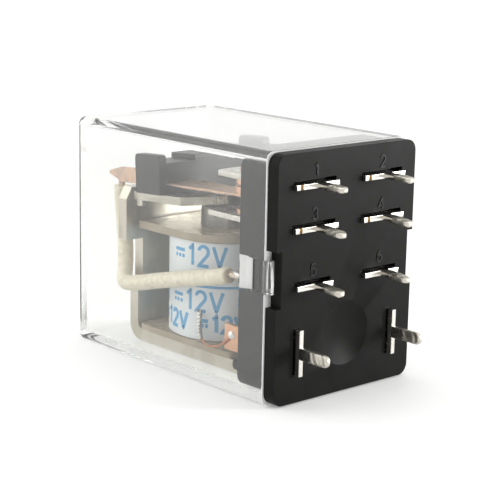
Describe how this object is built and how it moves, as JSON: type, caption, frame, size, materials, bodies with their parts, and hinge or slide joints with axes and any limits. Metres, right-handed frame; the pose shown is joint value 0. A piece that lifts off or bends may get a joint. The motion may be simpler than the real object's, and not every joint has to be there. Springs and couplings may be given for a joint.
{
  "type": "plug in relay",
  "caption": "Plug-in two-pole changeover relay with a clear clipped cover, blade terminals, a coil and a hinged armature.",
  "frame": {"origin": "middle of the flat seating face of the base", "axes": "+X is the way the relay plugs in, with the pins on +X and the clear cover on -X. +Z is the contact side and -Z the coil side, which the part rests on. Y runs across the two poles."},
  "size_m": [0.041, 0.0216, 0.028],
  "materials": {
    "base_plastic": "charcoal moulded thermoset, fine grain",
    "clear_plastic": "clear polycarbonate, polished",
    "plated_steel": "satin nickel plate",
    "bobbin_plastic": "beige grey moulding",
    "copper_wire": "enamelled or bare copper",
    "label_tape": "white tape with blue print",
    "spring_steel": "drawn spring wire",
    "tinned_brass": "bright tin plate",
    "contact_metal": "copper backed silver alloy",
    "copper_strip": "rolled copper alloy strip",
    "wire_sleeve": "cream silicone insulation"
  },
  "bodies": {
    "relay_body": {"base": "base_plastic", "cover": "clear_plastic", "yoke": "plated_steel", "core": "plated_steel", "bobbin": "bobbin_plastic", "winding": "copper_wire", "coil_label": "label_tape", "return_spring": "spring_steel", "terminal_1": "tinned_brass", "terminal_2": "tinned_brass", "terminal_3": "tinned_brass", "terminal_4": "tinned_brass", "terminal_5": "tinned_brass", "terminal_6": "tinned_brass", "terminal_7": "tinned_brass", "terminal_8": "tinned_brass", "contact_nc_a": "contact_metal", "contact_nc_b": "contact_metal", "contact_no_a": "contact_metal", "contact_no_b": "contact_metal", "lead_sleeve_a": "wire_sleeve", "lead_sleeve_b": "wire_sleeve", "lead_strand_a": "copper_wire", "lead_strand_b": "copper_wire", "coil_lead_a": "copper_wire", "coil_lead_b": "copper_wire"},
    "armature_group": {"armature": "plated_steel", "carrier": "base_plastic", "moving_spring_a": "copper_strip", "moving_spring_b": "copper_strip", "moving_contact_a": "contact_metal", "moving_contact_b": "contact_metal"}
  },
  "joints": [
    {"name": "armature_hinge", "type": "hinge", "parent": "relay_body", "child": "armature_group", "pos_m": [-0.02885, 0, 0.00462], "axis": [0, 1, 0], "range_deg": [0, 3.4], "stiffness_Nm_per_rad": 0.005, "springref_deg": -11.46, "deforming": ["return_spring"]}
  ]
}
